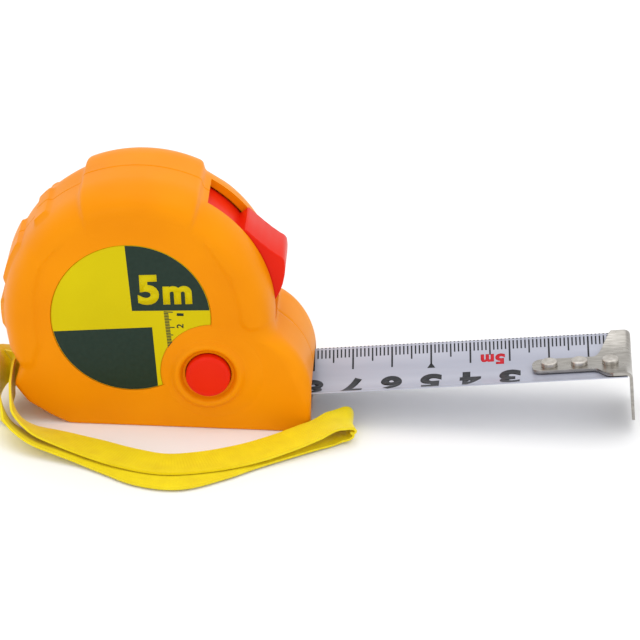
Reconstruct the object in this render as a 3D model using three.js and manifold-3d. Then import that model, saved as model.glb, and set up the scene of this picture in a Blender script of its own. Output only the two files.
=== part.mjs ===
// A retractable pocket tape measure: 5 m of 25 mm blade in a moulded two-half case.
// Millimetres. +X points out of the mouth, +Y from the front cover to the back cover, +Z up.
// The origin is on the underside, straight below the centre of the round label.
import * as THREE from "three";
import { mergeVertices } from "three/addons/utils/BufferGeometryUtils.js";
import Module from "manifold-3d";

const wasm = await Module();
wasm.setup();

// ---- driving dimensions ----
const GAP = 0.3; // clearance between pieces that touch
const DEG = Math.PI / 180;

const HALF_THICKNESS = 17.5; // half the case's thickness, along Y
const PARTING_Y = 2.5; // where the two covers meet
const CASE_CENTRE = [1.5, 28.3]; // X and Z of the big round part of the case
const CASE_RADIUS = 34;
const CROWN_RADIUS = 35.9; // the raised block on top
const CROWN_ANGLES = [63, 66, 114, 117]; // where the crown rises and where it ends, degrees
const NOSE_CENTRE = [26, 9]; // the round part above the mouth
const NOSE_RADIUS = 19.1;
const FRONT_X = NOSE_CENTRE[0] + NOSE_RADIUS; // the upright front face
const EDGE_DEPTH = 4; // how far the rounded edges reach in from each face
const EDGE_INSET = 3.5; // how far they draw the outline in
const WALL = 1.8;
const FLOOR_WALL = 1.6;
const CAVITY_RADIUS = 30.5;
const CAVITY_HALF = 13.3; // half width of the hollow at its rim
const HUB_CAVITY_RADIUS = 27.6;
const HUB_CAVITY_HALF = 15.7; // half width of the hollow round the drum

const LABEL_CENTRE = [0, 30];
const LABEL_RADIUS = 19.9;
const LABEL_THICKNESS = 0.5;
const LABEL_RECESS = 0.9;

const BUTTON_CENTRE = [19.4, 15.5];
const BUTTON_RADIUS = 5.55;
const BUTTON_TRAVEL = 1.2;
const BOSS_CENTRE = [20.6, 15.8]; // the raised disc round the button
const BOSS_RADIUS = 13;
const BOSS_HEIGHT = 1.1;

const COIL_CENTRE = [1.5, 28.5];
const COIL_RADIUS = 25.8; // all of the wound blade
const DRUM_RADIUS = 20;
const DRUM_HALF = 12.2;
const POST_RADIUS = 3;

const BLADE_WIDTH = 25;
const BLADE_SAG = 3.2; // depth of the concave section
const BLADE_THICKNESS = 0.3;
const BLADE_PITCH = 5.8 * DEG; // the blade climbs a little as it leaves the mouth
const HOOK_X = 124.3; // the hook's inner face
const BLADE_EDGE_AT_MOUTH = 8.7; // height of the blade's edges at the mouth
const BLADE_INNER_X = 6.2; // where the modelled straight run meets the coil

const HOOK_THICKNESS = 0.9;
const HOOK_PLAY = 0.9;
const HOOK_TAIL = 24.3;
const HOOK_DROP = 14.8;
const RIVET_PLACES = [-4.6, -12.4, -20];
const RIVET_SHANK = 1;

const LOCK_TRAVEL = 14; // degrees
const STRIP_INNER = 29.7; // radii of the lock's sliding strip
const STRIP_OUTER = 31.6;
const STRIP_ANGLES = [-11, 75];
const STRIP_HALF = 8.2;
const SLOT_HALF = 7.2;
const SLOT_ANGLES = [-3.5, 60.5];

const LEVER_PIVOT = [38.5, 14.2];
const LEVER_HALF = 2.3;
const LEVER_PIN_RADIUS = 1.25;

const SCREW_PLACES = [[-18, 6], [36.2, 20.9], [-19.9, 49.7], [-3.9, 58.8]];
const SCREW_SEAT_Y = 9.4;
const SCREW_HEAD = 2.3;
const SCREW_SHANK = 1.1;
const SCREW_END_Y = -8;

const STRAP_PIN_PLACE = [-25, 9.2];
const STRAP_PIN_RADIUS = 1;
const STRAP_WIDTH = 10;
const STRAP_THICKNESS = 0.8;
const STRAP_STEPS = 78;
// The strap's route, from the pin, round in front of the case, to the folded end and back:
// X, Y, Z and the tilt of its width from +Y towards +Z in degrees.
const STRAP_ROUTE = [
  [-27.3, 0, 10.3, 180],
  [-29.6, -0.2, 10.3, 184],
  [-32.4, -2.6, 9.8, 215],
  [-33.6, -7.2, 8.4, 255],
  [-33.6, -13.2, 6.8, 272],
  [-32.4, -19.6, 5.7, 292],
  [-28.6, -25.6, 3.6, 335],
  [-22.6, -30, 2.2, 345],
  [-15.4, -32.8, 1.5, 352],
  [-8.4, -35.6, 1, 358],
  [-2, -39.4, 0.9, 360],
  [5.6, -44.2, 0.9, 360],
  [13.4, -45.4, 0.9, 360],
  [22, -40.4, 0.9, 360],
  [30, -33.8, 0.9, 360],
  [38, -27.8, 0.9, 360],
  [45.5, -22.4, 0.9, 360],
  [51, -18.6, 0.9, 360],
  [55.2, -17, 1.8, 360],
  [55.2, -17, 3.9, 360],
  [51.4, -19, 4.5, 360],
  [46, -22.6, 3.4, 360],
  [38, -28.2, 2.4, 360],
  [30, -33.2, 1.9, 360],
  [20, -37.8, 1.8, 360],
  [10, -39.8, 1.8, 360],
  [1, -37.6, 1.9, 360],
  [-7.5, -33.8, 2.1, 358],
  [-14.8, -30.8, 2.6, 353],
  [-21.6, -28.2, 3.5, 346],
  [-26.8, -24, 4.8, 333],
  [-29.7, -18.2, 6.2, 298],
  [-30.5, -12, 6.7, 274],
  [-30.5, -6.4, 7.4, 250],
  [-30.6, -2.2, 7.9, 212],
  [-29.2, -0.2, 7.9, 184],
  [-27.3, 0, 7.9, 180],
];

const ORANGE = 0xe88c08;
const RED = 0xe02a10;
const STEEL = 0xb8bcc0;

// ---- helpers ----

// A three.js geometry as a manifold solid.
function toSolid(geometry) {
  const plain = geometry.clone();
  plain.deleteAttribute("normal");
  plain.deleteAttribute("uv");
  const merged = mergeVertices(plain, 1e-4);
  return new wasm.Manifold(new wasm.Mesh({
    numProp: 3,
    vertProperties: new Float32Array(merged.attributes.position.array),
    triVerts: new Uint32Array(merged.index.array),
  }));
}

function toGeometry(solid) {
  const mesh = solid.getMesh();
  const geometry = new THREE.BufferGeometry();
  geometry.setAttribute("position", new THREE.BufferAttribute(new Float32Array(mesh.vertProperties), 3));
  geometry.setIndex(new THREE.BufferAttribute(new Uint32Array(mesh.triVerts), 1));
  return geometry;
}

function box(x0, x1, y0, y1, z0, z1) {
  const geometry = new THREE.BoxGeometry(x1 - x0, y1 - y0, z1 - z0);
  geometry.translate((x0 + x1) / 2, (y0 + y1) / 2, (z0 + z1) / 2);
  return toSolid(geometry);
}

// A cylinder along Y at a place in X and Z.
function rod([x, z], radius, y0, y1, sides = 32) {
  const geometry = new THREE.CylinderGeometry(radius, radius, y1 - y0, sides);
  geometry.translate(x, (y0 + y1) / 2, z);
  return toSolid(geometry);
}

// A flat outline in X and Z, extruded from y0 to y1. edge rounds both ends: [depth, inset].
function slab(shape, y0, y1, edge = null) {
  const options = { depth: y1 - y0, bevelEnabled: false, curveSegments: 40 };
  if (edge) {
    options.depth -= 2 * edge[0];
    options.bevelEnabled = true;
    options.bevelThickness = edge[0];
    options.bevelSize = edge[1];
    options.bevelOffset = -edge[1];
    options.bevelSegments = 3;
  }
  const geometry = new THREE.ExtrudeGeometry(shape, options);
  geometry.rotateX(Math.PI / 2);
  geometry.translate(0, y1 - (edge ? edge[0] : 0), 0);
  return toSolid(geometry);
}

function polygon(points) {
  return new THREE.Shape(points.map(([x, z]) => new THREE.Vector2(x, z)));
}

// The part of a ring round the case's centre between two radii and two angles.
function arcBand(r0, r1, a0, a1, steps = 24) {
  const points = [];
  for (let i = 0; i <= steps; i++) {
    points.push(onArc(r1, a0 + ((a1 - a0) * i) / steps));
  }
  for (let i = steps; i >= 0; i--) {
    points.push(onArc(r0, a0 + ((a1 - a0) * i) / steps));
  }
  return polygon(points);
}

function onArc(radius, degrees) {
  const angle = degrees * DEG;
  return [CASE_CENTRE[0] + radius * Math.cos(angle), CASE_CENTRE[1] + radius * Math.sin(angle)];
}

// A bar with round ends between two places in X and Z.
function link(a, b, halfWidth, y0, y1) {
  const angle = Math.atan2(b[1] - a[1], b[0] - a[0]);
  const shape = new THREE.Shape();
  shape.absarc(b[0], b[1], halfWidth, angle - Math.PI / 2, angle + Math.PI / 2, false);
  shape.absarc(a[0], a[1], halfWidth, angle + Math.PI / 2, angle + 1.5 * Math.PI, false);
  return slab(shape, y0, y1);
}

// A turned piece whose axis is Y, from a closed profile of radius and Y.
function turned(profile, [x, z], sides = 40) {
  const points = profile.map(([r, y]) => new THREE.Vector2(r, y));
  points.push(points[0].clone());
  const geometry = new THREE.LatheGeometry(points, sides);
  geometry.translate(x, 0, z);
  return upright(toSolid(geometry), geometry);
}

// A solid whose faces point out, whichever way round its profile was drawn.
function upright(solid, geometry) {
  if (solid.volume() > 0) {
    return solid;
  }
  const flipped = geometry.toNonIndexed();
  const position = flipped.attributes.position;
  for (let i = 0; i < position.count; i += 3) {
    const b = new THREE.Vector3().fromBufferAttribute(position, i + 1);
    const c = new THREE.Vector3().fromBufferAttribute(position, i + 2);
    position.setXYZ(i + 1, c.x, c.y, c.z);
    position.setXYZ(i + 2, b.x, b.y, b.z);
  }
  return toSolid(flipped);
}

// A closed skin through rings of points, with flat ends.
function loft(rings) {
  const count = rings[0].length;
  const position = rings.flat().flatMap((p) => [p.x, p.y, p.z]);
  const index = [];
  for (let r = 0; r + 1 < rings.length; r++) {
    for (let i = 0; i < count; i++) {
      const a = r * count + i;
      const b = r * count + ((i + 1) % count);
      index.push(a, b, a + count, b, b + count, a + count);
    }
  }
  const last = (rings.length - 1) * count;
  const half = count / 2;
  for (let i = 0; i < half - 1; i++) {
    const j = count - 1 - i;
    index.push(i, j, i + 1, j, j - 1, i + 1);
    index.push(last + i, last + i + 1, last + j, last + j, last + i + 1, last + j - 1);
  }
  const geometry = new THREE.BufferGeometry();
  geometry.setAttribute("position", new THREE.Float32BufferAttribute(position, 3));
  geometry.setIndex(index);
  return upright(toSolid(geometry), geometry);
}

// A strip along X that is curved across its width; each station gives x, half width, height and sag.
function curvedStrip(stations, thickness, across = 8) {
  return loft(stations.map(({ x, half, z, sag }) => {
    const rise = (y) => sag * (y / (BLADE_WIDTH / 2)) ** 2;
    const ys = Array.from({ length: across + 1 }, (_, i) => -half + (2 * half * i) / across);
    const top = ys.map((y) => new THREE.Vector3(x, y, z + rise(y) + thickness / 2));
    const under = ys.map((y) => new THREE.Vector3(x, y, z + rise(y) - thickness / 2)).reverse();
    return [...top, ...under];
  }));
}

const group = new THREE.Group();

function add(parent, name, solid, color, roughness = 0.45, metalness = 0) {
  const material = new THREE.MeshStandardMaterial({ color, roughness, metalness });
  const mesh = new THREE.Mesh(toGeometry(solid), material);
  mesh.name = name;
  parent.add(mesh);
}

// ---- the case ----

// Points of an arc round a centre in X and Z, angles in degrees, without its first point.
function arcPoints(centre, radius, from, to, steps) {
  return Array.from({ length: steps }, (_, i) => {
    const angle = (from + ((to - from) * (i + 1)) / steps) * DEG;
    return [centre[0] + radius * Math.cos(angle), centre[1] + radius * Math.sin(angle)];
  });
}

// The side view of the case. drop lengthens it below the floor line, for the flat underside.
function caseOutline(drop) {
  const [riseFoot, riseTop, fallTop, fallFoot] = CROWN_ANGLES;
  return polygon([
    [-15.5 + drop, -drop],
    [FRONT_X, -drop],
    [FRONT_X, NOSE_CENTRE[1]],
    ...arcPoints(NOSE_CENTRE, NOSE_RADIUS, 0, 60, 10),
    ...arcPoints(CASE_CENTRE, CASE_RADIUS, -3, riseFoot, 14),
    ...arcPoints(CASE_CENTRE, CROWN_RADIUS, riseTop - 4, fallTop, 12),
    ...arcPoints(CASE_CENTRE, CASE_RADIUS, fallFoot - 4, 197, 18),
    [-27.8, 14.5],
    [-29.3, 9.8],
    [-26, 5.5],
  ]);
}

function caseHollow() {
  const hub = slab(new THREE.Shape().absarc(...CASE_CENTRE, HUB_CAVITY_RADIUS, 0, 2 * Math.PI),
    -HUB_CAVITY_HALF, HUB_CAVITY_HALF);
  const rim = slab(new THREE.Shape().absarc(...CASE_CENTRE, CAVITY_RADIUS, 0, 2 * Math.PI),
    -CAVITY_HALF, CAVITY_HALF);
  const nose = new THREE.Shape();
  nose.moveTo(10, FLOOR_WALL);
  nose.lineTo(FRONT_X - WALL, FLOOR_WALL);
  nose.absarc(...NOSE_CENTRE, NOSE_RADIUS - WALL, 0, 75 * DEG, false);
  nose.lineTo(10, 25);
  const lockChannel = slab(arcBand(STRIP_INNER - 0.4, STRIP_OUTER + 0.4, -16, 93),
    -STRIP_HALF - 0.4, STRIP_HALF + 0.4);
  const aboveFloor = box(-40, 60, -20, 20, FLOOR_WALL, 70);
  return hub.add(rim).intersect(aboveFloor)
    .add(slab(nose, -CAVITY_HALF, CAVITY_HALF))
    .add(lockChannel);
}

function screwBosses(y0, y1, radius) {
  return SCREW_PLACES.map((place) => rod(place, radius, y0, y1, 20))
    .reduce((sum, boss) => sum.add(boss));
}

const lockSlot = slab(arcBand(30, 40, ...SLOT_ANGLES), -SLOT_HALF, SLOT_HALF);
const mouth = box(FRONT_X - WALL - 1, 60, -13.2, 13.2, 3.1, 10.6);
const plateSeat = box(FRONT_X - 1, 60, -13.3, 13.3, 0.5, 4.6);
const strapPocket = box(-34, -22.6, -6, 6, 6.9, 12.5);
const strapPinHole = rod(STRAP_PIN_PLACE, STRAP_PIN_RADIUS + GAP, -9, 9, 20);
const leverPinHole = rod(LEVER_PIVOT, LEVER_PIN_RADIUS + GAP, -15.6, 15.6, 20);
const buttonPocket = rod(BUTTON_CENTRE, BUTTON_RADIUS + 1.6, -HUB_CAVITY_HALF, -12, 32)
  .add(box(8, 30.8, -HUB_CAVITY_HALF, -12, 11.4, 19.6));
const buttonHole = rod(BUTTON_CENTRE, BUTTON_RADIUS + 0.35, -25, -10, 40);

const outerCase = slab(caseOutline(EDGE_INSET), -HALF_THICKNESS, HALF_THICKNESS, [EDGE_DEPTH, EDGE_INSET])
  .intersect(box(-40, FRONT_X, -20, 20, 0, 70));
const hollow = caseHollow();

// What both covers share: the half shell with its bosses and side openings.
function coverShell(y0, y1, bosses) {
  const half = outerCase.intersect(box(-60, 70, y0, y1, -5, 80));
  return half.subtract(hollow)
    .add(bosses.intersect(half))
    .subtract(lockSlot)
    .subtract(mouth)
    .subtract(plateSeat)
    .subtract(strapPocket)
    .subtract(strapPinHole)
    .subtract(leverPinHole);
}

function frontCover() {
  const y1 = PARTING_Y - GAP / 2;
  const recess = rod(LABEL_CENTRE, LABEL_RADIUS + GAP, -20, -HALF_THICKNESS + LABEL_RECESS, 64);
  const boss = rod(BOSS_CENTRE, BOSS_RADIUS, -HALF_THICKNESS - BOSS_HEIGHT, -HALF_THICKNESS + LABEL_RECESS, 48);
  const springSeats = box(8.6, 10.6, -16, -14.8, 12.5, 18.5).add(box(28.2, 30.2, -16, -14.8, 12.5, 18.5));
  return coverShell(-30, y1, screwBosses(-HALF_THICKNESS + 1, y1, 2.2))
    .subtract(recess)
    .add(boss)
    .subtract(buttonHole)
    .subtract(buttonPocket)
    .add(springSeats)
    .subtract(screwBosses(SCREW_END_Y - 0.6, 10, SCREW_SHANK + GAP));
}

function backCover() {
  const y0 = PARTING_Y + GAP / 2;
  const recess = rod(LABEL_CENTRE, LABEL_RADIUS + GAP, HALF_THICKNESS - LABEL_RECESS, 20, 64);
  return coverShell(y0, 30, screwBosses(y0, HALF_THICKNESS - 1, 3.4))
    .subtract(recess)
    .subtract(screwBosses(0, 20, SCREW_SHANK + GAP))
    .subtract(screwBosses(SCREW_SEAT_Y, 20, SCREW_HEAD + GAP));
}

add(group, "front_cover", frontCover(), ORANGE);
add(group, "back_cover", backCover(), ORANGE);

// ---- labels, screws, pins and the wear plate ----

const labelFace = HALF_THICKNESS - LABEL_RECESS + GAP;
const frontLabel = rod(LABEL_CENTRE, LABEL_RADIUS, -labelFace - LABEL_THICKNESS, -labelFace, 64)
  .subtract(rod(BOSS_CENTRE, BOSS_RADIUS + GAP, -20, -10, 48));
add(group, "front_label", frontLabel, 0xbe9f00, 0.3);
add(group, "back_label", rod(LABEL_CENTRE, LABEL_RADIUS, labelFace, labelFace + LABEL_THICKNESS, 64), 0xbe9f00, 0.3);

SCREW_PLACES.forEach((place, i) => {
  const seat = SCREW_SEAT_Y + GAP;
  const profile = [
    [0, SCREW_END_Y],
    [SCREW_SHANK, SCREW_END_Y + 1],
    [SCREW_SHANK, seat],
    [SCREW_HEAD, seat],
    [SCREW_HEAD, seat + 0.8],
    [1.2, seat + 1.6],
    [0, seat + 1.6],
  ];
  add(group, `case_screw_${i + 1}`, turned(profile, place, 20), STEEL, 0.3, 1);
});

add(group, "brake_lever_pin", rod(LEVER_PIVOT, LEVER_PIN_RADIUS, -15.2, 15.2, 20), STEEL, 0.3, 1);
add(group, "strap_pin", rod(STRAP_PIN_PLACE, STRAP_PIN_RADIUS, -8.6, 8.6, 20), STEEL, 0.3, 1);

const plateProfile = polygon([
  [FRONT_X, 0.8], [FRONT_X, 4], [42.6, 4], [42.6, 3.4], [FRONT_X - 0.7, 3.4], [FRONT_X - 0.7, 0.8],
]);
add(group, "mouth_plate", slab(plateProfile, -12.9, 12.9), STEEL, 0.3, 1);

// ---- the drum, its spring and the wound blade ----

const postBar = rod(COIL_CENTRE, POST_RADIUS, -15.4, 15.4, 28)
  .subtract(box(COIL_CENTRE[0] - 0.45, COIL_CENTRE[0] + 0.45, -11, 16, 20, 40));
add(group, "centre_post", postBar, 0x303030);

const spoolProfile = [
  [POST_RADIUS + 0.4, -DRUM_HALF],
  [DRUM_RADIUS, -DRUM_HALF],
  [DRUM_RADIUS, DRUM_HALF],
  [DRUM_RADIUS - 1.6, DRUM_HALF],
  [DRUM_RADIUS - 1.6, -DRUM_HALF + 1.2],
  [POST_RADIUS + 0.4, -DRUM_HALF + 1.2],
];
add(group, "spool", turned(spoolProfile, COIL_CENTRE), 0x2a2a2a);

const coverProfile = [
  [POST_RADIUS + 0.4, DRUM_HALF - 1.1],
  [DRUM_RADIUS - 2, DRUM_HALF - 1.1],
  [DRUM_RADIUS - 2, DRUM_HALF],
  [POST_RADIUS + 0.4, DRUM_HALF],
];
add(group, "spring_cover", turned(coverProfile, COIL_CENTRE), 0x2a2a2a);

const coilProfile = [
  [DRUM_RADIUS + GAP, -BLADE_WIDTH / 2 + 0.1],
  [COIL_RADIUS, -BLADE_WIDTH / 2 + 0.1],
  [COIL_RADIUS, BLADE_WIDTH / 2 - 0.1],
  [DRUM_RADIUS + GAP, BLADE_WIDTH / 2 - 0.1],
];
add(group, "tape_coil", turned(coilProfile, COIL_CENTRE, 56), 0xd8dce4, 0.35, 0.3);

function powerSpring() {
  const turns = 8;
  const steps = 22 * turns;
  const thickness = 0.4;
  const inner = POST_RADIUS + 0.5;
  const outer = DRUM_RADIUS - 2.4;
  const edge = [];
  const back = [];
  for (let i = 0; i <= steps; i++) {
    const angle = (2 * Math.PI * turns * i) / steps;
    const radius = inner + ((outer - inner) * i) / steps;
    const ray = [Math.cos(angle), Math.sin(angle)];
    edge.push([COIL_CENTRE[0] + (radius + thickness) * ray[0], COIL_CENTRE[1] + (radius + thickness) * ray[1]]);
    back.unshift([COIL_CENTRE[0] + radius * ray[0], COIL_CENTRE[1] + radius * ray[1]]);
  }
  return slab(polygon([...edge, ...back]), -10.6, 10.7);
}
add(group, "power_spring", powerSpring(), STEEL, 0.3, 1);

// ---- the blade and its hook, in a frame whose X runs along the blade from the hook's inner face ----

const bladeFrame = new THREE.Group();
const chordHeight = BLADE_EDGE_AT_MOUTH + (HOOK_X - FRONT_X) * Math.tan(BLADE_PITCH);
bladeFrame.position.set(HOOK_X, 0, chordHeight);
bladeFrame.rotation.y = -BLADE_PITCH;
group.add(bladeFrame);

const alongBlade = (x) => (x - HOOK_X) / Math.cos(BLADE_PITCH);
const rivetHoles = (radius, slide) => RIVET_PLACES.map((x) => {
  const hole = new THREE.Shape();
  hole.absarc(x, 0, radius, -Math.PI / 2, Math.PI / 2, false);
  hole.absarc(x - slide, 0, radius, Math.PI / 2, 1.5 * Math.PI, false);
  const geometry = new THREE.ExtrudeGeometry(hole, { depth: 8, bevelEnabled: false, curveSegments: 10 });
  geometry.translate(0, 0, -6);
  return toSolid(geometry);
}).reduce((sum, hole) => sum.add(hole));

function bladeStations() {
  const start = alongBlade(BLADE_INNER_X);
  const mouthPlace = alongBlade(FRONT_X);
  const curvedFrom = alongBlade(34);
  const end = -0.4;
  const stations = [];
  const steps = 22;
  for (let i = 0; i <= steps; i++) {
    const x = start + ((end - start) * i) / steps;
    const opened = Math.min(1, (x - start) / (curvedFrom - start));
    const inside = Math.max(0, (mouthPlace - x) / (mouthPlace - start));
    stations.push({
      x,
      half: BLADE_WIDTH / 2,
      z: -BLADE_SAG + 1.1 * inside ** 2,
      sag: BLADE_SAG * opened ** 2 * (3 - 2 * opened),
    });
  }
  return stations;
}
const blade = curvedStrip(bladeStations(), BLADE_THICKNESS).subtract(rivetHoles(RIVET_SHANK + GAP, 0));
add(bladeFrame, "blade", blade, 0xc8ccd8, 0.3, 0.2);

const tailHeight = -BLADE_SAG + BLADE_THICKNESS / 2 + GAP + HOOK_THICKNESS / 2;
function hookTail() {
  const neck = 3.3;
  const stations = [];
  const add = (x, half) => stations.push({ x, half, z: tailHeight, sag: BLADE_SAG });
  for (let i = 0; i <= 4; i++) {
    const turn = (i / 4) * (Math.PI / 2);
    add(-HOOK_TAIL + 2.6 * (1 - Math.cos(turn)), 1.3 + (neck - 1.3) * Math.sin(turn));
  }
  for (let i = 0; i <= 5; i++) {
    const part = i / 5;
    add(-8.5 + 5 * part, neck + (BLADE_WIDTH / 2 - 0.3 - neck) * part * part * (3 - 2 * part));
  }
  add(HOOK_THICKNESS / 2, BLADE_WIDTH / 2 - 0.3);
  return curvedStrip(stations, HOOK_THICKNESS);
}

function hookBlade() {
  const half = BLADE_WIDTH / 2 - 0.3;
  const shape = new THREE.Shape();
  shape.moveTo(-half, 0.6);
  shape.quadraticCurveTo(0, tailHeight * 2 + 1.2, half, 0.6);
  shape.lineTo(half, -4);
  shape.lineTo(9, -HOOK_DROP + 1.5);
  shape.quadraticCurveTo(8.5, -HOOK_DROP, 7, -HOOK_DROP);
  shape.lineTo(-7, -HOOK_DROP);
  shape.quadraticCurveTo(-8.5, -HOOK_DROP, -9, -HOOK_DROP + 1.5);
  shape.lineTo(-half, -4);
  const options = { depth: HOOK_THICKNESS, bevelEnabled: false, curveSegments: 12 };
  const geometry = new THREE.ExtrudeGeometry(shape, options);
  geometry.rotateX(Math.PI / 2);
  geometry.rotateZ(Math.PI / 2);
  return upright(toSolid(geometry), geometry).subtract(hookRelief());
}

// The shallow step beside the blade's end, so only the part below the blade is the gauging face.
function hookRelief() {
  const shape = new THREE.Shape();
  shape.moveTo(-BLADE_WIDTH / 2, -1);
  shape.quadraticCurveTo(0, -8.4, BLADE_WIDTH / 2, -1);
  shape.lineTo(BLADE_WIDTH / 2, 4);
  shape.lineTo(-BLADE_WIDTH / 2, 4);
  const geometry = new THREE.ExtrudeGeometry(shape, { depth: 0.65, bevelEnabled: false, curveSegments: 12 });
  geometry.rotateX(Math.PI / 2);
  geometry.rotateZ(Math.PI / 2);
  geometry.translate(-0.5, 0, 0);
  return upright(toSolid(geometry), geometry);
}
const endHook = hookTail().add(hookBlade()).subtract(rivetHoles(RIVET_SHANK + GAP, HOOK_PLAY));
add(bladeFrame, "end_hook", endHook, STEEL, 0.25, 1);

RIVET_PLACES.forEach((x, i) => {
  const seat = tailHeight + HOOK_THICKNESS / 2 + GAP;
  const foot = -BLADE_SAG - BLADE_THICKNESS / 2 - GAP;
  const profile = [
    [0, foot - 0.5],
    [1.7, foot - 0.4],
    [1.7, foot],
    [RIVET_SHANK, foot],
    [RIVET_SHANK, seat],
    [2.05, seat],
    [1.9, seat + 0.5],
    [1.1, seat + 0.85],
    [0, seat + 0.9],
  ];
  const points = profile.map(([r, z]) => new THREE.Vector2(r, z));
  const geometry = new THREE.LatheGeometry(points, 20);
  geometry.rotateX(Math.PI / 2);
  geometry.translate(x, 0, 0);
  add(bladeFrame, `hook_rivet_${i + 1}`, upright(toSolid(geometry), geometry), STEEL, 0.25, 1);
});

// ---- the thumb lock and the brake it works ----

const knobProfile = polygon([
  onArc(31, -1),
  onArc(34.7, -1),
  onArc(36.3, 5),
  onArc(37.5, 12),
  onArc(38.5, 21),
  onArc(37.2, 24),
  onArc(35.7, 30),
  onArc(34.7, 36),
  onArc(34.2, 40.7),
  onArc(31, 40.7),
  onArc(31, 30),
  onArc(31, 20),
  onArc(31, 10),
]);
const thumbLock = slab(arcBand(STRIP_INNER, STRIP_OUTER, ...STRIP_ANGLES), -STRIP_HALF, STRIP_HALF)
  .add(slab(knobProfile, -SLOT_HALF + GAP, SLOT_HALF - GAP));
add(group, "thumb_lock", thumbLock, RED, 0.4);

const leverTip = [30.8, 20.3];
const leverFoot = [20.9, 7];
const brakeLever = rod(LEVER_PIVOT, 2.6, -LEVER_HALF, LEVER_HALF, 28)
  .add(link(LEVER_PIVOT, leverTip, 1, -LEVER_HALF, LEVER_HALF))
  .add(link(LEVER_PIVOT, leverFoot, 1.1, -LEVER_HALF, LEVER_HALF))
  .add(box(19, 22, -LEVER_HALF, LEVER_HALF, 5.9, 7.1))
  .subtract(rod(LEVER_PIVOT, LEVER_PIN_RADIUS + GAP, -6, 6, 20));
add(group, "brake_lever", brakeLever, 0x303030);
add(group, "brake_pad", box(19.2, 21.8, -2.1, 2.1, 4.1, 5.6), 0x1a1a1a, 0.9);

// ---- the side button ----

const buttonProfile = [
  [0, -19.3],
  [4.6, -19.2],
  [5.6, -18.9],
  [BUTTON_RADIUS, -18.4],
  [BUTTON_RADIUS, -15.4],
  [BUTTON_RADIUS + 1.2, -15.4],
  [BUTTON_RADIUS + 1.2, -14.8],
  [0, -14.8],
];
add(group, "side_button", turned(buttonProfile, BUTTON_CENTRE), RED, 0.4);
add(group, "button_pad", rod(BUTTON_CENTRE, 2.4, -14.5, -12.8 - BUTTON_TRAVEL, 24), 0x1a1a1a, 0.9);
const leaf = box(8.4, 30.4, -14.5, -14.2, 11.9, 19.1).subtract(rod(BUTTON_CENTRE, 2.8, -16, -12, 24));
add(group, "button_spring", leaf, STEEL, 0.3, 1);

// ---- the wrist strap ----

function wristStrap() {
  const curve = new THREE.CatmullRomCurve3(
    STRAP_ROUTE.map(([x, y, z]) => new THREE.Vector3(x, y, z)), false, "centripetal");
  const last = STRAP_ROUTE.length - 1;
  const rings = [];
  for (let i = 0; i <= STRAP_STEPS; i++) {
    const t = i / STRAP_STEPS;
    const k = Math.min(last - 1, Math.floor(t * last));
    const tilt = THREE.MathUtils.lerp(STRAP_ROUTE[k][3], STRAP_ROUTE[k + 1][3], t * last - k) * DEG;
    const centre = curve.getPoint(t);
    const along = curve.getTangent(t);
    const wide = new THREE.Vector3(0, Math.cos(tilt), Math.sin(tilt));
    wide.addScaledVector(along, -wide.dot(along)).normalize();
    const thick = new THREE.Vector3().crossVectors(along, wide);
    const corner = (w, h) => centre.clone()
      .addScaledVector(wide, (w * STRAP_WIDTH) / 2)
      .addScaledVector(thick, (h * STRAP_THICKNESS) / 2);
    rings.push([corner(-1, 1), corner(1, 1), corner(1, -1), corner(-1, -1)]);
  }
  return loft(rings);
}
add(group, "strap", wristStrap(), 0xe8c800, 0.6);

export default group;
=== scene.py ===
"""Looks for the pocket tape measure: covers, label, lock, button, blade, hook, strap, light and camera.

Shapes are worked out in millimetres in the row frame and turned into metres when a mesh is made.
"""

import math

import bmesh
import bpy
import numpy as np
from mathutils import Matrix, Vector


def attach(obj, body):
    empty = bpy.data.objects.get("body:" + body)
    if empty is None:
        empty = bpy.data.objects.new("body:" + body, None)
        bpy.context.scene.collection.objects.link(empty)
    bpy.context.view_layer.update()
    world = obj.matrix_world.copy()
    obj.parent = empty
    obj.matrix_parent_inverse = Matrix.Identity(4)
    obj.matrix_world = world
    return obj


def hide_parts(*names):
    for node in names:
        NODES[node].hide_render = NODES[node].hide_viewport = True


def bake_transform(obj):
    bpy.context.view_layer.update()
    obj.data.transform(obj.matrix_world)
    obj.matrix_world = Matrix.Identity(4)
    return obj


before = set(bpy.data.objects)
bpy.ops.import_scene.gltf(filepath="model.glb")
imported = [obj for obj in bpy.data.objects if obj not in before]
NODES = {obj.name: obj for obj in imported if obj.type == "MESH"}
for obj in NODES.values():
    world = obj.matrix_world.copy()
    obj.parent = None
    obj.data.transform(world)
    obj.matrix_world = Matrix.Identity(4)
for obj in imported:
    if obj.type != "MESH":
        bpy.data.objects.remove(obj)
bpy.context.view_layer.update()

# ---- driving dimensions, millimetres ----
MM = 0.001
CASE_CENTRE = (1.5, 28.3)
CASE_RADIUS = 34.0
CROWN_RADIUS = 35.9
CROWN_ANGLES = (63.5, 66.0, 114.0, 116.5)
NOSE_CENTRE = (26.0, 9.0)
NOSE_RADIUS = 19.1
FRONT_X = NOSE_CENTRE[0] + NOSE_RADIUS
STAR_CENTRE = np.array([3.0, 24.0])  # every point of the side view can be seen from here
FACE_LEVEL = 16.85  # distance of the flat side faces from the middle plane
PAD_RISE = 0.7
CROWN_RISE = 0.9
SEAM_GAP = 0.04
SEAM_CHAMFER = 0.28

LABEL_CENTRE = (0.0, 30.0)
LABEL_RADIUS = 19.9
LABEL_FACE = FACE_LEVEL - 0.25
LABEL_THICKNESS = 0.35
BUTTON_CENTRE = (19.4, 15.5)
BUTTON_RADIUS = 5.55
BOSS_CENTRE = (20.6, 15.8)
BOSS_RADIUS = 13.1

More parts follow.
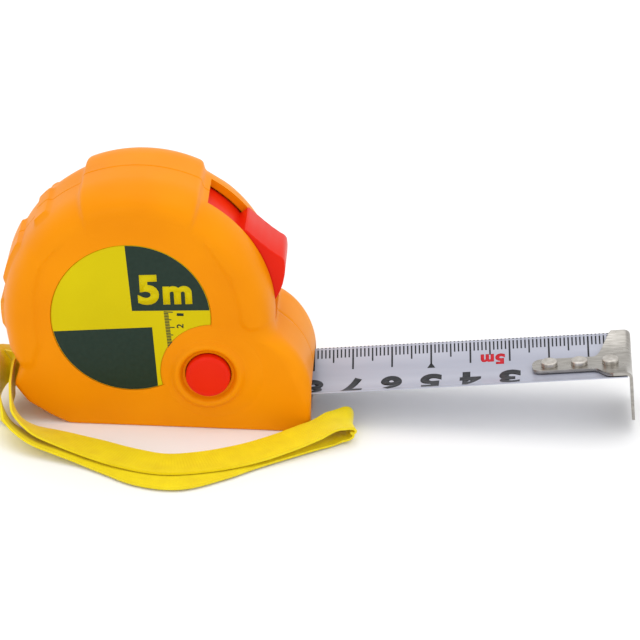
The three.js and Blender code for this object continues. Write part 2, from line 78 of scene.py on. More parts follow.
BLADE_PITCH = math.radians(5.8)
BLADE_HALF = 12.5
BLADE_SAG = 3.2
BLADE_THICKNESS = 0.26
HOOK_X = 124.3
BLADE_EDGE_AT_MOUTH = 8.7
BLADE_INNER_X = 6.2
HOOK_THICKNESS = 0.9
HOOK_TAIL = 24.3
HOOK_DROP = 14.8
RIVETS = (-4.6, -12.4, -20.0)

LOCK_SLOT_ANGLES = (-3.5, 60.5)
LOCK_SLOT_HALF = 7.2

STRAP_WIDTH = 10.0
STRAP_THICKNESS = 0.7
STRAP_ROUTE = (
    (-27.3, 0, 10.3, 180),
    (-29.6, -0.2, 10.3, 184),
    (-32.4, -2.6, 9.8, 215),
    (-33.6, -7.2, 8.4, 255),
    (-33.6, -13.2, 6.8, 272),
    (-32.4, -19.6, 5.7, 292),
    (-28.6, -25.6, 3.6, 335),
    (-22.6, -30, 2.2, 345),
    (-15.4, -32.8, 1.5, 352),
    (-8.4, -35.6, 1, 358),
    (-2, -39.4, 0.9, 360),
    (5.6, -44.2, 0.9, 360),
    (13.4, -45.4, 0.9, 360),
    (22, -40.4, 0.9, 360),
    (30, -33.8, 0.9, 360),
    (38, -27.8, 0.9, 360),
    (45.5, -22.4, 0.9, 360),
    (51, -18.6, 0.9, 360),
    (55.2, -17, 1.8, 360),
    (55.2, -17, 3.9, 360),
    (51.4, -19, 4.5, 360),
    (46, -22.6, 3.4, 360),
    (38, -28.2, 2.4, 360),
    (30, -33.2, 1.9, 360),
    (20, -37.8, 1.8, 360),
    (10, -39.8, 1.8, 360),
    (1, -37.6, 1.9, 360),
    (-7.5, -33.8, 2.1, 358),
    (-14.8, -30.8, 2.6, 353),
    (-21.6, -28.2, 3.5, 346),
    (-26.8, -24, 4.8, 333),
    (-29.7, -18.2, 6.2, 298),
    (-30.5, -12, 6.7, 274),
    (-30.5, -6.4, 7.4, 250),
    (-30.6, -2.2, 7.9, 212),
    (-29.2, -0.2, 7.9, 184),
    (-27.3, 0, 7.9, 180),
)


# ---- mesh helpers ----

def smooth_step(t):
    t = np.clip(t, 0.0, 1.0)
    return t * t * (3 - 2 * t)


def mesh_object(name, points, faces):
    """A closed mesh from points in millimetres, with its faces turned outwards."""
    mesh = bpy.data.meshes.new(name)
    mesh.from_pydata([tuple(float(c) * MM for c in p) for p in points], [], faces)
    work = bmesh.new()
    work.from_mesh(mesh)
    bmesh.ops.recalc_face_normals(work, faces=work.faces)
    work.to_mesh(mesh)
    work.free()
    obj = bpy.data.objects.new(name, mesh)
    bpy.context.scene.collection.objects.link(obj)
    return obj


def shade(obj, sharp_degrees=32):
    """Smooth shading that stays crisp at edges sharper than an angle."""
    work = bmesh.new()
    work.from_mesh(obj.data)
    for face in work.faces:
        face.smooth = True
    for edge in work.edges:
        turned = len(edge.link_faces) == 2 and edge.calc_face_angle(0) > math.radians(sharp_degrees)
        edge.smooth = not turned
    work.to_mesh(obj.data)
    work.free()


def bake_modifiers(obj):
    graph = bpy.context.evaluated_depsgraph_get()
    mesh = bpy.data.meshes.new_from_object(obj.evaluated_get(graph))
    obj.modifiers.clear()
    obj.data = mesh


def combine(obj, other, operation="DIFFERENCE"):
    """Cuts other out of obj, or joins it on, and removes other."""
    modifier = obj.modifiers.new("combine", "BOOLEAN")
    modifier.operation = operation
    modifier.solver = "MANIFOLD"
    modifier.object = other
    bake_modifiers(obj)
    bpy.data.objects.remove(other)


def soften(obj, width, segments=3, degrees=40):
    """Rounds every edge that is sharper than an angle."""
    modifier = obj.modifiers.new("soften", "BEVEL")
    modifier.width = width * MM
    modifier.segments = segments
    modifier.limit_method = "ANGLE"
    modifier.angle_limit = math.radians(degrees)
    modifier.harden_normals = False
    bake_modifiers(obj)


def prism(name, outline, y0, y1):
    """A flat outline in X and Z, carried from y0 to y1."""
    count = len(outline)
    points = [(x, y0, z) for x, z in outline] + [(x, y1, z) for x, z in outline]
    faces = [list(range(count)), list(range(count, 2 * count))[::-1]]
    faces += [[i, (i + 1) % count, count + (i + 1) % count, count + i] for i in range(count)]
    return mesh_object(name, points, faces)


def block(name, x0, x1, y0, y1, z0, z1):
    return prism(name, [(x0, z0), (x1, z0), (x1, z1), (x0, z1)], y0, y1)


def turned(name, profile, centre, sides=96, place=None):
    """A turned piece from a profile of radius and height. Its axis is Y unless place maps it elsewhere."""
    place = place or (lambda x, y, h: (centre[0] + x, h, centre[1] + y))
    points = []
    rows = []
    for radius, height in profile:
        count = 1 if radius == 0 else sides
        rows.append([len(points) + i for i in range(count)])
        for i in range(count):
            angle = 2 * math.pi * i / sides
            points.append(place(radius * math.cos(angle), radius * math.sin(angle), height))
    closed = profile[0][0] != 0
    pairs = list(zip(rows, rows[1:] + rows[:1])) if closed else list(zip(rows, rows[1:]))
    faces = []
    for low, high in pairs:
        for i in range(sides):
            j = i + 1
            corners = [low[i % len(low)], low[j % len(low)], high[j % len(high)], high[i % len(high)]]
            unique = list(dict.fromkeys(corners))
            if len(unique) > 2:
                faces.append(unique)
    return mesh_object(name, points, faces)


def thick_grid(name, grid, thickness, keep_uv=False):
    """A closed sheet from a grid of points on its middle surface. thickness may vary over the grid."""
    rows, cols = grid.shape[:2]
    along = np.gradient(grid, axis=0)
    across = np.gradient(grid, axis=1)
    normal = np.cross(along, across)
    normal /= np.linalg.norm(normal, axis=2, keepdims=True)
    half = np.broadcast_to(np.asarray(thickness, float) / 2, (rows, cols))[..., None]
    points = np.concatenate([(grid + normal * half).reshape(-1, 3), (grid - normal * half).reshape(-1, 3)])
    under = rows * cols
    faces = []
    for r in range(rows - 1):
        for c in range(cols - 1):
            a = r * cols + c
            faces.append([a, a + 1, a + cols + 1, a + cols])
            faces.append([under + a, under + a + cols, under + a + cols + 1, under + a + 1])
    rim = list(range(cols))
    rim += [r * cols + cols - 1 for r in range(1, rows)]
    rim += [(rows - 1) * cols + c for c in range(cols - 2, -1, -1)]
    rim += [r * cols for r in range(rows - 2, 0, -1)]
    for a, b in zip(rim, rim[1:] + rim[:1]):
        faces.append([a, under + a, under + b, b])
    obj = mesh_object(name, points, faces)
    if keep_uv:
        layer = obj.data.uv_layers.new(name="weave")
        steps = np.linalg.norm(np.diff(grid[:, cols // 2], axis=0), axis=1)
        length = np.concatenate([[0], np.cumsum(steps)])
        for loop in obj.data.loops:
            r, c = divmod(loop.vertex_index % under, cols)
            layer.data[loop.index].uv = (length[r] * MM, STRAP_WIDTH * c / (cols - 1) * MM)
    return obj


def arc(centre, radius, start, end, steps):
    """Points of an arc in X and Z, angles in degrees, both ends included."""
    angles = np.radians(np.linspace(start, end, steps + 1))
    return [(centre[0] + radius * math.cos(a), centre[1] + radius * math.sin(a)) for a in angles]


def arc_band(inner, outer, start, end, steps=48):
    return arc(CASE_CENTRE, outer, start, end, steps) + arc(CASE_CENTRE, inner, end, start, steps)


# ---- materials ----

def material(name, color, roughness, metallic=0.0, **sockets):
    """A Principled material, with its nodes and links ready for detail."""
    made = bpy.data.materials.new(name)
    made.use_nodes = True
    shader = made.node_tree.nodes["Principled BSDF"]
    shader.inputs["Base Color"].default_value = (*color, 1)
    shader.inputs["Roughness"].default_value = roughness
    shader.inputs["Metallic"].default_value = metallic
    for socket, value in sockets.items():
        shader.inputs[socket.replace("_", " ")].default_value = value
    return made


def add_node(made, kind, **values):
    node = made.node_tree.nodes.new(kind)
    for key, value in values.items():
        if key in node.inputs:
            node.inputs[key].default_value = value
        else:
            setattr(node, key, value)
    return node


def link(made, start, end):
    made.node_tree.links.new(start, end)


def coordinates(made, stretch=(1, 1, 1)):
    """Object coordinates, stretched so that grain can run one way."""
    source = add_node(made, "ShaderNodeTexCoord")
    mapping = add_node(made, "ShaderNodeMapping", Scale=stretch)
    link(made, source.outputs["Object"], mapping.inputs["Vector"])
    return mapping.outputs["Vector"]


def noise(made, vector, scale, detail=3.0):
    node = add_node(made, "ShaderNodeTexNoise", Scale=scale, Detail=detail)
    link(made, vector, node.inputs["Vector"])
    return node.outputs["Fac"]


def vary_colour(made, factor, dark, light):
    """Colour that drifts between two tones."""
    ramp = add_node(made, "ShaderNodeValToRGB")
    ramp.color_ramp.elements[0].position = 0.3
    ramp.color_ramp.elements[0].color = (*dark, 1)
    ramp.color_ramp.elements[1].position = 0.7
    ramp.color_ramp.elements[1].color = (*light, 1)
    link(made, factor, ramp.inputs["Fac"])
    link(made, ramp.outputs["Color"], made.node_tree.nodes["Principled BSDF"].inputs["Base Color"])


def vary_roughness(made, factor, low, high):
    spread = add_node(made, "ShaderNodeMapRange")
    spread.inputs["To Min"].default_value = low
    spread.inputs["To Max"].default_value = high
    link(made, factor, spread.inputs["Value"])
    link(made, spread.outputs["Result"], made.node_tree.nodes["Principled BSDF"].inputs["Roughness"])


def add_bump(made, height, strength, distance):
    bump = add_node(made, "ShaderNodeBump", Strength=strength, Distance=distance)
    link(made, height, bump.inputs["Height"])
    link(made, bump.outputs["Normal"], made.node_tree.nodes["Principled BSDF"].inputs["Normal"])


def moulded_plastic(name, dark, light, roughness=0.3, grain=0.12, specular=0.4):
    """Moulded plastic: slow drift of tone, fine satin grain and slightly uneven gloss."""
    made = material(name, light, roughness, Specular_IOR_Level=specular)
    vector = coordinates(made)
    vary_colour(made, noise(made, vector, 45, 2.0), dark, light)
    vary_roughness(made, noise(made, vector, 160, 4.0), roughness - 0.05, roughness + 0.08)
    add_bump(made, noise(made, vector, 3500, 2.0), grain, 0.00002)
    return made


def worked_steel(name, dark, light, roughness, stretch, scratch=0.25):
    """Steel with fine lines along one direction and smudges in its gloss."""
    made = material(name, light, roughness, metallic=1.0)
    lines = coordinates(made, stretch)
    vary_colour(made, noise(made, lines, 900, 4.0), dark, light)
    vary_roughness(made, noise(made, coordinates(made), 260, 3.0), roughness - 0.08, roughness + 0.14)
    add_bump(made, noise(made, lines, 1600, 3.0), scratch, 0.00001)
    return made


def printed_ink(name, color, roughness=0.4):
    """Ink with a slightly uneven cover."""
    made = material(name, color, roughness, Specular_IOR_Level=0.2)
    vector = coordinates(made)
    thin = tuple(min(1.0, c * 1.15 + 0.002) for c in color)
    vary_colour(made, noise(made, vector, 900, 4.0), color, thin)
    add_bump(made, noise(made, vector, 5000, 2.0), 0.1, 0.00001)
    return made


def blade_enamel():
    """Pale enamel with a faint clear coat and long drawn unevenness."""
    made = material("blade_enamel", (0.47, 0.49, 0.58), 0.32, Coat_Weight=0.25, Coat_Roughness=0.2)
    vector = coordinates(made, (0.12, 1, 1))
    vary_colour(made, noise(made, vector, 120, 3.0), (0.36, 0.375, 0.455), (0.44, 0.455, 0.54))
    add_bump(made, noise(made, coordinates(made), 2400, 3.0), 0.1, 0.00002)
    return made


def woven_ribbon():
    """Satin ribbon: fine diagonal twill over ribs across the width, with a soft sheen."""
    made = material("strap_ribbon", (0.86, 0.68, 0.0), 0.5, Sheen_Weight=0.15, Sheen_Roughness=0.4,
                    Specular_IOR_Level=0.3)
    source = add_node(made, "ShaderNodeTexCoord")
    twill = add_node(made, "ShaderNodeTexWave", Scale=750.0, Distortion=0.4)
    twill.bands_direction = "DIAGONAL"
    link(made, source.outputs["UV"], twill.inputs["Vector"])
    ribs = add_node(made, "ShaderNodeTexWave", Scale=420.0, Distortion=0.6)
    ribs.bands_direction = "X"
    link(made, source.outputs["UV"], ribs.inputs["Vector"])
    threads = add_node(made, "ShaderNodeMath", operation="ADD")
    link(made, twill.outputs["Fac"], threads.inputs[0])
    link(made, ribs.outputs["Fac"], threads.inputs[1])
    vary_colour(made, noise(made, source.outputs["UV"], 240, 4.0), (0.78, 0.60, 0.0), (0.86, 0.69, 0.0))
    add_bump(made, threads.outputs["Value"], 0.35, 0.00006)
    return made


ORANGE = moulded_plastic("case_orange", (0.80, 0.250, 0.0), (0.87, 0.290, 0.0), 0.4, 0.12, 0.08)
RED = moulded_plastic("red_plastic", (0.70, 0.012, 0.001), (0.80, 0.020, 0.003), 0.34, 0.12, 0.12)
DARK_PLASTIC = moulded_plastic("dark_plastic", (0.012, 0.012, 0.013), (0.025, 0.025, 0.027), 0.45, 0.3)
RUBBER = moulded_plastic("black_rubber", (0.010, 0.010, 0.010), (0.018, 0.018, 0.018), 0.75, 0.6)
STEEL = worked_steel("plated_steel", (0.50, 0.50, 0.51), (0.66, 0.66, 0.67), 0.28, (1, 6, 1))
HOOK_STEEL = worked_steel("hook_steel", (0.30, 0.285, 0.26), (0.46, 0.44, 0.41), 0.26, (0.3, 3, 1))
RIVET_STEEL = worked_steel("rivet_steel", (0.42, 0.39, 0.35), (0.62, 0.59, 0.55), 0.32, (1, 1, 1), 0.6)
ENAMEL = blade_enamel()
BLACK_INK = printed_ink("black_ink", (0.012, 0.013, 0.016))
RED_INK = printed_ink("red_ink", (0.48, 0.005, 0.014))
LABEL_YELLOW = moulded_plastic("label_yellow", (0.60, 0.490, 0.0), (0.66, 0.540, 0.0), 0.4, 0.05, 0.1)
LABEL_GREEN = printed_ink("label_green", (0.010, 0.026, 0.017), 0.3)
RIBBON = woven_ribbon()


def finish_piece(obj, made, body, replaces=()):
    obj.data.materials.clear()
    obj.data.materials.append(made)
    if body:
        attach(obj, body)
    if replaces:
        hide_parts(*replaces)
    return obj


# ---- camera, floor and light ----

CAMERA_AT = (74.1, -886.9, 461.95)
CAMERA_AZIMUTH = math.radians(1.79)
CAMERA_ELEVATION = math.radians(26.31)
CAMERA_ROLL = math.radians(1.33)
CAMERA_LENS = 221.0


def set_camera():
    right = Vector((math.cos(CAMERA_AZIMUTH), math.sin(CAMERA_AZIMUTH), 0))
    back = Vector((
        math.sin(CAMERA_AZIMUTH) * math.cos(CAMERA_ELEVATION),
        -math.cos(CAMERA_AZIMUTH) * math.cos(CAMERA_ELEVATION),
        math.sin(CAMERA_ELEVATION),
    ))
    up = back.cross(right)
    rolled_right = right * math.cos(CAMERA_ROLL) + up * math.sin(CAMERA_ROLL)
    rolled_up = up * math.cos(CAMERA_ROLL) - right * math.sin(CAMERA_ROLL)
    data = bpy.data.cameras.new("camera")
    data.lens = CAMERA_LENS
    data.sensor_width = 36
    data.clip_end = 10
    camera = bpy.data.objects.new("camera", data)
    turn = Matrix((rolled_right, rolled_up, back)).transposed().to_4x4()
    camera.matrix_world = Matrix.Translation(Vector(CAMERA_AT) * MM) @ turn
    bpy.context.scene.collection.objects.link(camera)
    bpy.context.scene.camera = camera


def make_floor():
    floor = mesh_object("floor", [(-3000, -3000, 0), (3000, -3000, 0), (3000, 3000, 0), (-3000, 3000, 0)],
                        [[0, 1, 2, 3]])
    made = material("floor_white", (0.93, 0.93, 0.93), 0.7, Specular_IOR_Level=0.2)
    floor.data.materials.append(made)


def area_light(name, place, target, size, power):
    data = bpy.data.lights.new(name, "AREA")
    data.shape = "RECTANGLE"
    data.size, data.size_y = size
    data.energy = power
    light = bpy.data.objects.new(name, data)
    light.location = place
    light.rotation_euler = (Vector(target) - Vector(place)).to_track_quat("-Z", "Y").to_euler()
    bpy.context.scene.collection.objects.link(light)


def set_light():
    world = bpy.data.worlds.new("studio")
    world.use_nodes = True
    world.node_tree.nodes["Background"].inputs["Color"].default_value = (1, 1, 1, 1)
    world.node_tree.nodes["Background"].inputs["Strength"].default_value = 1.0
    bpy.context.scene.world = world
    bpy.context.scene.view_settings.view_transform = "Standard"
    area_light("top_softbox", (0.05, 0.15, 0.9), (0.03, 0, 0.03), (0.9, 0.7), 2.0)
    area_light("front_softbox", (-0.35, -0.9, 0.55), (0.03, 0, 0.03), (0.6, 0.6), 0.9)
    area_light("side_softbox", (0.9, -0.3, 0.5), (0.05, 0, 0.02), (0.5, 0.6), 0.5)


set_camera()
make_floor()
set_light()


# ---- the wrist strap ----

def route_point(t):
    """A place on the route, as a centripetal Catmull-Rom curve, with its tilt, t from 0 to 1."""
    route = np.array(STRAP_ROUTE, float)
    places = route[:, :3]
    padded = np.vstack([2 * places[0] - places[1], places, 2 * places[-1] - places[-2]])
    last = len(places) - 1
    k = min(last - 1, int(t * last))
    f = t * last - k
    p0, p1, p2, p3 = padded[k:k + 4]
    d0, d1, d2 = (max(1e-4, np.linalg.norm(b - a)) ** 0.5 for a, b in ((p0, p1), (p1, p2), (p2, p3)))
    m1 = ((p1 - p0) / d0 - (p2 - p0) / (d0 + d1) + (p2 - p1) / d1) * d1
    m2 = ((p2 - p1) / d1 - (p3 - p1) / (d1 + d2) + (p3 - p2) / d2) * d1
    place = (
        (2 * f**3 - 3 * f**2 + 1) * p1 + (f**3 - 2 * f**2 + f) * m1
        + (3 * f**2 - 2 * f**3) * p2 + (f**3 - f**2) * m2
    )
    return place, route[k, 3] + (route[k + 1, 3] - route[k, 3]) * f


STRAP_STEPS = 420
STRAP_ACROSS = 14


def make_strap():
    sampled = [route_point(i / STRAP_STEPS) for i in range(STRAP_STEPS + 1)]
    centres = np.array([place for place, _ in sampled])
    tilts = np.radians([tilt for _, tilt in sampled])
    along = np.gradient(centres, axis=0)
    along /= np.linalg.norm(along, axis=1, keepdims=True)
    wide = np.stack([np.zeros(len(tilts)), np.cos(tilts), np.sin(tilts)], axis=1)
    wide -= along * np.sum(wide * along, axis=1, keepdims=True)
    wide /= np.linalg.norm(wide, axis=1, keepdims=True)
    thick = np.cross(along, wide)
    v = np.linspace(-1, 1, STRAP_ACROSS + 1)
    bow = 0.16 * (1 - v**2) - 0.08
    grid = centres[:, None] + wide[:, None] * (v * STRAP_WIDTH / 2)[None, :, None]
    grid = grid + thick[:, None] * bow[None, :, None]
    step_down = 0.25 * smooth_step((np.abs(v) - 0.72) / 0.1)
    woven_edge = 0.3 * np.exp(-((np.abs(v) - 0.93) / 0.05) ** 2)
    selvedge = STRAP_THICKNESS * (1 - step_down + woven_edge)
    strap = thick_grid("wrist_strap", grid, np.broadcast_to(selvedge, grid.shape[:2]), keep_uv=True)
    shade(strap, 50)
    finish_piece(strap, RIBBON, "case", ["strap"])


make_strap()


# ---- the two covers ----

WALL_RINGS = 11
ROUND_RINGS = 11
FACE_RINGS = 56
OUTLINE_POINTS = 440
GRIP_BUMPS = ((131, 141), (150, 171), (177, 192))  # raised finger ribs at the back, degrees
GRIP_RISE = 1.0
LEFT_PAD = ((14, -25), (18, -24), (22, -23), (28, -23.6), (36, -24), (44.5, -22), (50, -17.3), (64, -17))
RIGHT_PAD = ((26, 30.5), (30, 27.6), (34, 27), (42, 24.5), (48.5, 20), (54, 16.8), (64, 16.8))
PAD_FOOT = 28.2  # where the right pad ends above the nose
PAD_EDGE = 1.6
SCREWS = ((-18, 6), (36.2, 20.9), (-19.9, 49.7), (-3.9, 58.8))
SCREW_SEAT = 9.4
SCREW_HEAD = 2.3
HUB_SPACE = (27.6, 15.6)  # radius and half width of the space for the drum
RIM_SPACE_RADIUS = 30.5
INNER_HALF = 13.3  # half width of the space for the blade
LOCK_CHANNEL_HALF = 8.6
MOUTH = (42.0, 60, -13.2, 13.2, 3.1, 10.6)  # blocks that are cut out: X, Y and Z from and to
PLATE_SEAT = (FRONT_X - 1, 60, -INNER_HALF, INNER_HALF, 0.5, 4.6)
STRAP_POCKET = (-36, -22.6, -6, 6, 6.9, 12.5)
BOSS_PROFILE = (
    (0, -15.8), (BOSS_RADIUS, -15.8), (BOSS_RADIUS, -16.55), (12.75, -16.72), (12.3, -16.86),
    (11.6, -17.0), (10.6, -17.14), (9.6, -17.22), (0, -17.22),
)
BEAD_PROFILE = (
    (5.6, -15.9), (9.9, -15.9), (9.7, -17.1), (9.3, -17.32), (8.9, -17.75), (8.5, -18.2), (8.1, -18.48),
    (7.7, -18.52), (7.3, -18.35), (6.95, -17.9), (6.7, -17.4), (6.4, -17.05), (5.6, -16.9),
)
MOAT_PROFILE = ((0, -16.9), (7.6, -16.9), (7.6, -20), (0, -20))


def case_outline():
    """The side view as points at even spacing, with how the edge is rounded at each: where the flat
    part of the rim ends and how far the rounding draws in."""
    rise_foot, rise_top, fall_top, fall_foot = CROWN_ANGLES
    body = (7.0, 5.6)
    lower = (12.5, 4.6)
    tight = (15.4, 1.2)
    parts = [
        ([(-15.5, 0.0), (FRONT_X, 0.0)], (16.2, 0.8)),
        ([(FRONT_X, 0.6), (FRONT_X, NOSE_CENTRE[1])], (15.0, 2.0)),
        (arc(NOSE_CENTRE, NOSE_RADIUS, 4, 59, 12), lower),
        (arc(CASE_CENTRE, CASE_RADIUS, -3, rise_foot, 30), body),
        (arc(CASE_CENTRE, CROWN_RADIUS, rise_top, fall_top, 20), (7.2, 5.8)),
        (arc(CASE_CENTRE, CASE_RADIUS, fall_foot, 197, 30), body),
        ([(-27.8, 14.5), (-29.3, 9.8)], (14.6, 1.6)),
        ([(-26.0, 5.5), (-20.0, 1.9)], tight),
    ]
    points = np.array([p for part, _ in parts for p in part])
    edges = np.array([edge for part, edge in parts for _ in part])
    loop = np.vstack([points, points[:1]])
    run = np.concatenate([[0], np.cumsum(np.linalg.norm(np.diff(loop, axis=0), axis=1))])
    at = np.linspace(0, run[-1], OUTLINE_POINTS, endpoint=False)
    even = np.stack([np.interp(at, run, loop[:, k]) for k in (0, 1)], axis=1)
    kinds = np.vstack([edges, edges[:1]])
    even_edges = np.stack([np.interp(at, run, kinds[:, k]) for k in (0, 1)], axis=1)
    return ease(even, 0.9), ease(even_edges, 5.0)


def ease(values, reach):
    """Rounds a closed run of values off over a number of points."""
    count = len(values)
    offsets = np.arange(-int(3 * reach), int(3 * reach) + 1)
    weights = np.exp(-0.5 * (offsets / reach) ** 2)
    weights /= weights.sum()
    return sum(w * values[(np.arange(count) + o) % count] for w, o in zip(weights, offsets))


def side_height(x, z):
    """How far the side face stands from the middle plane, with its raised pads and top band."""
    left_edge = np.interp(z, *zip(*LEFT_PAD))
    right_edge = np.interp(z, *zip(*RIGHT_PAD))
    left = smooth_step((left_edge - x) / PAD_EDGE + 0.5) * smooth_step((z - 14.5) / 3)
    right = smooth_step((x - right_edge) / PAD_EDGE + 0.5) * smooth_step((z - PAD_FOOT) / 1.6 + 0.5)
    band = smooth_step((16.2 - np.abs(x - 0.2)) / 1.2) * smooth_step((z - 50.5) / 7.5)
    return FACE_LEVEL + PAD_RISE * np.maximum(left, right) + CROWN_RISE * band


def grip_bump(points, y):
    """The finger ribs' rise at places of the rim."""
    angles = np.degrees(np.arctan2(points[:, 1] - CASE_CENTRE[1], points[:, 0] - CASE_CENTRE[0])) % 360
    rise = np.zeros(len(points))
    for start, end in GRIP_BUMPS:
        rise += smooth_step((angles - start) / 2.2) * smooth_step((end - angles) / 2.2)
    return GRIP_RISE * rise * smooth_step((8.6 - y) / 1.6)


def cover_shell(name, side):
    """A solid half of the case, from the seam to its side face."""
    rim, edge = case_outline()
    flat, inset = edge[:, 0], edge[:, 1]
    ray = rim - STAR_CENTRE
    reach = np.linalg.norm(ray, axis=1)
    ray = ray / reach[:, None]
    shoulder = rim - ray * inset[:, None]
    top = side_height(shoulder[:, 0], shoulder[:, 1])
    rings = []

    def ring(places, heights):
        rings.append(np.stack([places[:, 0], side * heights, places[:, 1]], axis=1))

    seam = np.full(len(rim), SEAM_GAP)
    ring(rim + ray * (grip_bump(rim, 0) - SEAM_CHAMFER)[:, None], seam)
    for k in range(WALL_RINGS):
        heights = SEAM_GAP + SEAM_CHAMFER + (flat - SEAM_GAP - SEAM_CHAMFER) * k / WALL_RINGS
        ring(rim + ray * grip_bump(rim, heights)[:, None], heights)
    for k in range(ROUND_RINGS + 1):
        turn = math.pi / 2 * k / ROUND_RINGS
        drawn = inset * (1 - math.cos(turn))
        heights = flat + (top - flat) * math.sin(turn)
        ring(rim + ray * (grip_bump(rim, heights) - drawn)[:, None], heights)
    for k in range(1, FACE_RINGS):
        places = STAR_CENTRE + (shoulder - STAR_CENTRE) * (1 - k / FACE_RINGS)
        ring(places, side_height(places[:, 0], places[:, 1]))
    count = len(rim)
    points = np.concatenate(rings + [np.array([[STAR_CENTRE[0], side * FACE_LEVEL, STAR_CENTRE[1]]])])
    faces = [list(range(count))]
    for r in range(len(rings) - 1):
        for i in range(count):
            j = (i + 1) % count
            faces.append([r * count + i, r * count + j, (r + 1) * count + j, (r + 1) * count + i])
    inner = (len(rings) - 1) * count
    faces += [[inner + i, inner + (i + 1) % count, len(points) - 1] for i in range(count)]
    return mesh_object(name, points, faces)


def round_cutter(name, centre, radius, y0, y1, flare=0.0, flare_at=None):
    """A cylinder along Y that opens out past flare_at, so the hole it cuts has a small chamfer."""
    profile = [(0, y0), (radius, y0)]
    if flare:
        profile += [(radius, flare_at), (radius + flare * 6, flare_at + math.copysign(flare * 6, y1 - y0))]
        y1 = profile[-1][1] + math.copysign(2, y1 - y0)
        profile += [(radius + flare * 6, y1)]
    else:
        profile += [(radius, y1)]
    profile.append((0, y1))
    return turned(name, profile, centre, 128)


def cut_hollow(cover):
    """The inside of the case: drum space, rim space, nose, and the lock's curved channel."""
    radius, half = HUB_SPACE
    hub = [(0, -half), (radius, -half), (radius, half), (0, half)]
    combine(cover, turned("hub_space", hub, CASE_CENTRE))
    rim_space = arc(CASE_CENTRE, RIM_SPACE_RADIUS, -52, 232, 90)
    combine(cover, prism("rim_space", rim_space, -INNER_HALF, INNER_HALF))
    nose = [(10, 1.6), (43.3, 1.6)] + arc(NOSE_CENTRE, 17.3, 0, 75, 20) + [(10, 25)]
    combine(cover, prism("nose_space", nose, -INNER_HALF, INNER_HALF))
    channel = arc_band(29.2, 32.1, -16, 93)
    combine(cover, prism("lock_channel", channel, -LOCK_CHANNEL_HALF, LOCK_CHANNEL_HALF))


def cut_openings(cover):
    """The thumb lock's slot, the mouth, the wear plate's seat and the strap's pocket."""
    slot = prism("lock_slot", arc_band(29.5, 40, *LOCK_SLOT_ANGLES), -LOCK_SLOT_HALF, LOCK_SLOT_HALF)
    combine(cover, slot)
    combine(cover, block("mouth", *MOUTH))
    combine(cover, block("plate_seat", *PLATE_SEAT))
    combine(cover, block("strap_pocket", *STRAP_POCKET))


def finish_cover(cover, node):
    shade(cover, 34)
    finish_piece(cover, ORANGE, "case", [node])


def make_front_cover():
    cover = cover_shell("front_cover_shell", -1)
    cut_hollow(cover)
    recess = round_cutter("label_recess", LABEL_CENTRE, LABEL_RADIUS + 0.12,
                          -LABEL_FACE + LABEL_THICKNESS, -30, 0.1, -FACE_LEVEL + 0.12)
    combine(cover, recess)
    combine(cover, turned("boss", BOSS_PROFILE, BOSS_CENTRE, 128), "UNION")
    bead = turned("bead", BEAD_PROFILE, BUTTON_CENTRE, 128)
    combine(cover, turned("moat", MOAT_PROFILE, BUTTON_CENTRE, 128))
    combine(cover, bead, "UNION")
    hole = round_cutter("button_hole", BUTTON_CENTRE, BUTTON_RADIUS + 0.25, -10, -30)
    combine(cover, hole)
    cut_openings(cover)
    finish_cover(cover, "front_cover")


def make_back_cover():
    cover = cover_shell("back_cover_shell", 1)
    cut_hollow(cover)
    recess = round_cutter("back_recess", LABEL_CENTRE, LABEL_RADIUS + 0.12,
                          LABEL_FACE - LABEL_THICKNESS, 30, 0.1, FACE_LEVEL - 0.12)
    combine(cover, recess)
    for place in SCREWS:
        combine(cover, turned("screw_boss", [(0, 3), (3.1, 3), (3.1, 13.4), (0, 13.4)], place, 48), "UNION")
    for place in SCREWS:
        well = round_cutter("screw_well", place, SCREW_HEAD + 0.3, SCREW_SEAT, 30, 0.06, FACE_LEVEL - 0.3)
        combine(cover, well)
        combine(cover, round_cutter("screw_hole", place, 1.4, 0, 12))
    cut_openings(cover)
    finish_cover(cover, "back_cover")


make_front_cover()
make_back_cover()


# ---- printed art: thin closed solids laid on a surface ----

INK_DEPTH = 0.03


def lay_print(name, shapes, surface, cuts=()):
    """Flat polygons in a surface's own U and V, split at the cuts so they follow its curve."""
    work = bmesh.new()
    for shape in shapes:
        work.faces.new([work.verts.new((u, v, 0)) for u, v in shape])
    return press_print(name, work, surface, cuts)


def press_print(name, work, surface, cuts=()):
    for place, direction in cuts:
        everything = list(work.verts) + list(work.edges) + list(work.faces)
        bmesh.ops.bisect_plane(work, geom=everything, plane_co=place, plane_no=direction)
    bmesh.ops.triangulate(work, faces=work.faces)
    bmesh.ops.dissolve_degenerate(work, dist=1e-5, edges=work.edges)
    under = bmesh.ops.extrude_face_region(work, geom=list(work.faces), use_keep_orig=True)
    for vert in (v for v in under["geom"] if isinstance(v, bmesh.types.BMVert)):
        vert.co.z = -INK_DEPTH
    for vert in work.verts:
        vert.co = Vector(surface(vert.co.x, vert.co.y, vert.co.z + INK_DEPTH * 0.6)) * MM
    bmesh.ops.recalc_face_normals(work, faces=work.faces)
    mesh = bpy.data.meshes.new(name)
    work.to_mesh(mesh)
    work.free()
    obj = bpy.data.objects.new(name, mesh)
    bpy.context.scene.collection.objects.link(obj)
    return obj


